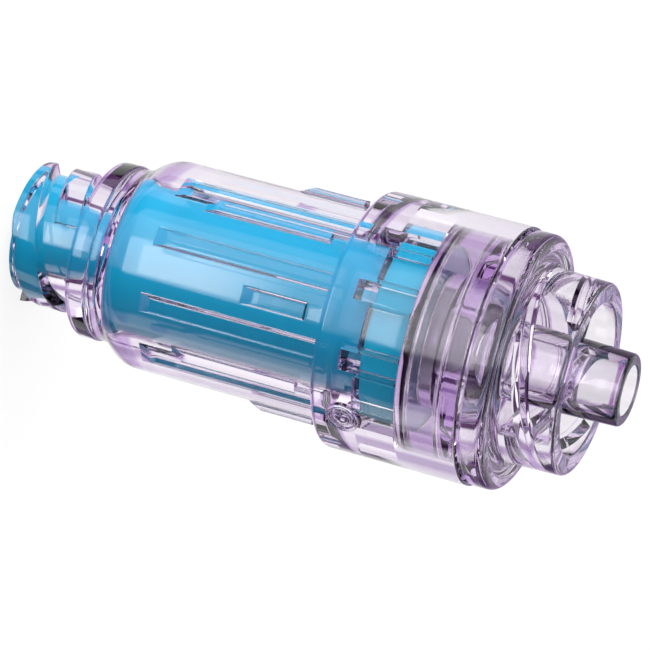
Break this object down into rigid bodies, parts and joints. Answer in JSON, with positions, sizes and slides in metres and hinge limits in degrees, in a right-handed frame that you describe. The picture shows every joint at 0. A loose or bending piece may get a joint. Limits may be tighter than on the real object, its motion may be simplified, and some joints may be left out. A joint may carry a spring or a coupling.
{
  "type": "needle free connector",
  "caption": "Needle free infusion connector: clear ribbed housing with a soft blue seal in its female luer, and a male luer tip inside a threaded lock collar.",
  "frame": {"origin": "centre of the female luer rim, which it stands on", "axes": "+Z along the flow axis towards the male luer tip; +X through one of the four short ribs"},
  "size_m": [0.0142, 0.0142, 0.0347],
  "materials": {
    "clear_shell": "polished clear polycarbonate with a faint violet tint",
    "clear_inner": "polished clear polycarbonate",
    "blue_silicone": "smooth satin blue silicone rubber",
    "clear_silicone": "translucent silicone rubber"
  },
  "bodies": {
    "connector_body": {"housing": "clear_shell", "spike_support": "clear_inner", "flow_regulator": "clear_silicone", "luer_base": "clear_shell"},
    "seal_head": {"seal": "blue_silicone"}
  },
  "joints": [
    {"name": "seal_press", "type": "slide", "parent": "connector_body", "child": "seal_head", "axis": [0, 0, 1], "range_m": [0, 0.005], "stiffness_N_per_m": 600, "deforming": ["seal"]}
  ]
}
